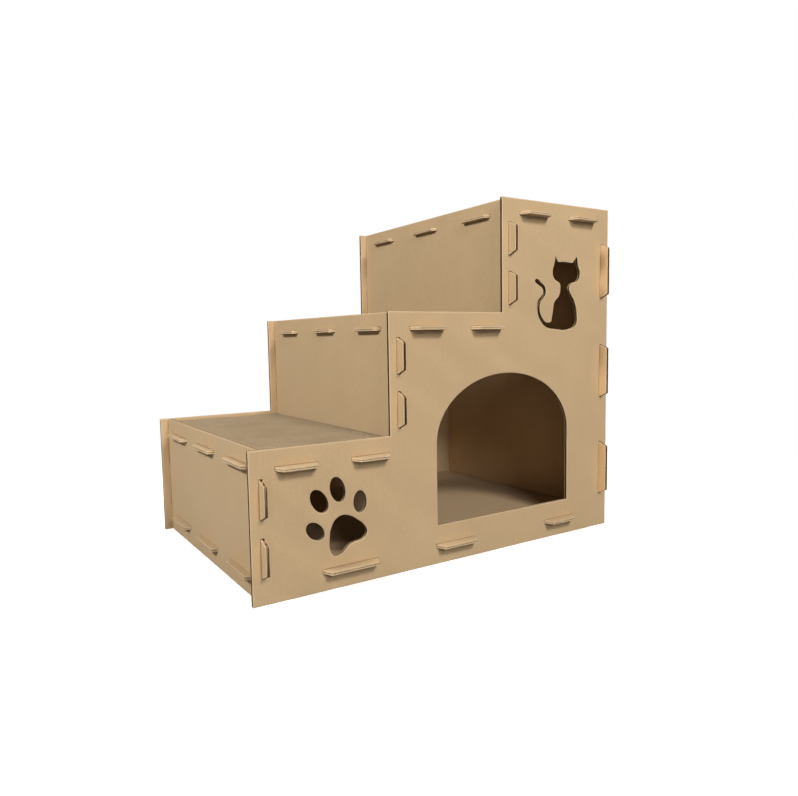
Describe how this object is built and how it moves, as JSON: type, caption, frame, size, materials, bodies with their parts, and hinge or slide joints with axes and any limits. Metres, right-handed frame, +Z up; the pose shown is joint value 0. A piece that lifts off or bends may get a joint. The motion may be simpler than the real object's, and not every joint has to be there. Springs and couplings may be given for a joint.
{
  "type": "stepped cardboard cat scratcher house",
  "caption": "Stepped cat house of slotted corrugated boards with an arched doorway, paw and cat shaped windows, and a lift-out scratch pad on each step.",
  "frame": {"origin": "middle of the footprint, on the ground", "axes": "+X to the right seen from the door side, the way the steps climb; -Y out of the doorway; +Z up"},
  "size_m": [0.6, 0.428, 0.5],
  "materials": {
    "kraft_board": "matt kraft paper on corrugated board, with open flutes at the cut edges",
    "scratch_pad": "cut edges of corrugated strips glued side by side"
  },
  "bodies": {
    "house": {"front_panel": "kraft_board", "back_panel": "kraft_board", "left_wall": "kraft_board", "lower_riser": "kraft_board", "upper_riser": "kraft_board", "right_wall": "kraft_board", "bottom_step_panel": "kraft_board", "middle_step_panel": "kraft_board", "top_step_panel": "kraft_board", "floor_panel": "kraft_board"},
    "bottom_pad": {"bottom_scratch_pad": "scratch_pad"},
    "middle_pad": {"middle_scratch_pad": "scratch_pad"},
    "top_pad": {"top_scratch_pad": "scratch_pad"}
  },
  "joints": [
    {"name": "bottom_pad_lift", "type": "slide", "parent": "house", "child": "bottom_pad", "axis": [0, 0, 1], "range_m": [0, 0.04]},
    {"name": "middle_pad_lift", "type": "slide", "parent": "house", "child": "middle_pad", "axis": [0, 0, 1], "range_m": [0, 0.04]},
    {"name": "top_pad_lift", "type": "slide", "parent": "house", "child": "top_pad", "axis": [0, 0, 1], "range_m": [0, 0.04]}
  ]
}
